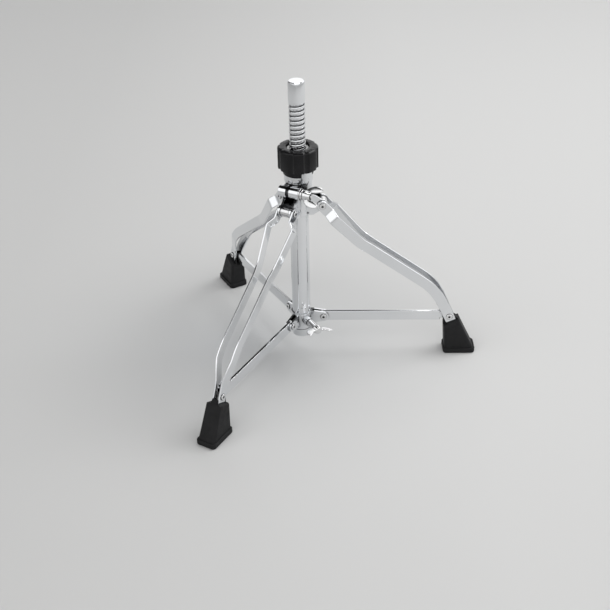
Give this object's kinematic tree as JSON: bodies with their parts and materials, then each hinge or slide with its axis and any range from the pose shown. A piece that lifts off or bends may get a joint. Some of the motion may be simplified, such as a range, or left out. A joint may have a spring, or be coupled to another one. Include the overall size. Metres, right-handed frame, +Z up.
{
  "type": "drum throne tripod base",
  "caption": "Folding tripod base for a drum stool: double-bar legs with rubber shoes, a sliding brace collar, and a threaded seat post in a lobed lock nut.",
  "frame": {"origin": "on the axis of the central tube at floor level, under the middle of the tripod", "axes": "+Z up along the tube and the seat post, +X towards the foot of leg a"},
  "size_m": [0.4475, 0.5148, 0.478],
  "materials": {
    "chrome_tube": "bright polished chrome plate",
    "chrome_cast": "chrome plate over a cast surface",
    "chrome_bar": "bright chrome plate on flat bar",
    "chrome_rod": "chrome plated screw",
    "steel_zinc": "plated hardware",
    "black_grip": "satin moulded black",
    "black_rubber": "matte black rubber",
    "white_bush": "plain moulded bushing"
  },
  "bodies": {
    "column": {"main_tube": "chrome_tube", "tube_cap": "chrome_tube", "hub_casting": "chrome_cast", "leg_spacer_a": "steel_zinc", "leg_spacer_b": "steel_zinc", "leg_spacer_c": "steel_zinc", "receiver_collar": "chrome_cast", "rod_bushing": "white_bush", "clamp_bolt": "steel_zinc", "clamp_washer": "steel_zinc", "clamp_lock_washer": "steel_zinc"},
    "clamp_nut": {"clamp_wing_nut": "steel_zinc"},
    "lock_nut": {"lock_nut_grip": "black_grip", "lock_nut_insert": "steel_zinc"},
    "rod": {"threaded_rod": "chrome_rod", "rod_stop": "steel_zinc"},
    "slider": {"brace_hub": "chrome_cast", "brace_rivet_a": "steel_zinc", "brace_rivet_b": "steel_zinc", "brace_rivet_c": "steel_zinc"},
    "slider_lock": {"brace_wing_bolt": "steel_zinc"},
    "leg_a": {"leg_bar_left_a": "chrome_bar", "leg_bar_right_a": "chrome_bar", "leg_rivet_a": "steel_zinc", "foot_rivet_left_a": "steel_zinc", "foot_rivet_right_a": "steel_zinc", "rubber_foot_a": "black_rubber"},
    "brace_a": {"brace_bar_a": "chrome_bar"},
    "leg_b": {"leg_bar_left_b": "chrome_bar", "leg_bar_right_b": "chrome_bar", "leg_rivet_b": "steel_zinc", "foot_rivet_left_b": "steel_zinc", "foot_rivet_right_b": "steel_zinc", "rubber_foot_b": "black_rubber"},
    "brace_b": {"brace_bar_b": "chrome_bar"},
    "leg_c": {"leg_bar_left_c": "chrome_bar", "leg_bar_right_c": "chrome_bar", "leg_rivet_c": "steel_zinc", "foot_rivet_left_c": "steel_zinc", "foot_rivet_right_c": "steel_zinc", "rubber_foot_c": "black_rubber"},
    "brace_c": {"brace_bar_c": "chrome_bar"}
  },
  "joints": [
    {"name": "leg_a_fold", "type": "hinge", "parent": "column", "child": "leg_a", "pos_m": [0.0364, 0, 0.2798], "axis": [0, 1, 0], "range_deg": [0, 34]},
    {"name": "leg_b_fold", "type": "hinge", "parent": "column", "child": "leg_b", "pos_m": [-0.0182, 0.03152, 0.2798], "axis": [-0.866, -0.5, 0], "range_deg": [0, 34]},
    {"name": "leg_c_fold", "type": "hinge", "parent": "column", "child": "leg_c", "pos_m": [-0.0182, -0.03152, 0.2798], "axis": [0.866, -0.5, 0], "range_deg": [0, 34]},
    {"name": "slider_slide", "type": "slide", "parent": "column", "child": "slider", "axis": [0, 0, 1], "range_m": [0, 0.153]},
    {"name": "brace_a_swing", "type": "hinge", "parent": "slider", "child": "brace_a", "pos_m": [0.0362, 0, 0.07], "axis": [0, 1, 0], "range_deg": [0, 74.8]},
    {"name": "brace_b_swing", "type": "hinge", "parent": "slider", "child": "brace_b", "pos_m": [-0.0181, 0.03135, 0.07], "axis": [-0.866, -0.5, 0], "range_deg": [0, 74.8]},
    {"name": "brace_c_swing", "type": "hinge", "parent": "slider", "child": "brace_c", "pos_m": [-0.0181, -0.03135, 0.07], "axis": [0.866, -0.5, 0], "range_deg": [0, 74.8]},
    {"name": "clamp_nut_spin", "type": "hinge", "parent": "column", "child": "clamp_nut", "pos_m": [-0.01407, -0.02762, 0.312], "axis": [0.891, -0.454, 0], "range_deg": [0, 720]},
    {"name": "lock_nut_spin", "type": "hinge", "parent": "column", "child": "lock_nut", "pos_m": [0, 0, 0.34], "axis": [0, 0, 1], "range_deg": [-2880, 3240]},
    {"name": "rod_slide", "type": "slide", "parent": "column", "child": "rod", "axis": [0, 0, 1], "range_m": [-0.0595, 0.067]},
    {"name": "brace_lock_spin", "type": "hinge", "parent": "slider", "child": "slider_lock", "pos_m": [0.015, -0.02598, 0.071], "axis": [0.5, -0.866, 0], "range_deg": [0, 720]}
  ],
  "couplings": [
    {"joint": "leg_b_fold", "follows": "leg_a_fold", "ratio": 1},
    {"joint": "leg_c_fold", "follows": "leg_a_fold", "ratio": 1},
    {"joint": "slider_slide", "follows": "leg_a_fold", "m_per_rad": 0.25783},
    {"joint": "brace_a_swing", "follows": "leg_a_fold", "ratio": 2.2},
    {"joint": "brace_b_swing", "follows": "leg_a_fold", "ratio": 2.2},
    {"joint": "brace_c_swing", "follows": "leg_a_fold", "ratio": 2.2},
    {"joint": "rod_slide", "follows": "lock_nut_spin", "m_per_rad": 0.0011777}
  ]
}
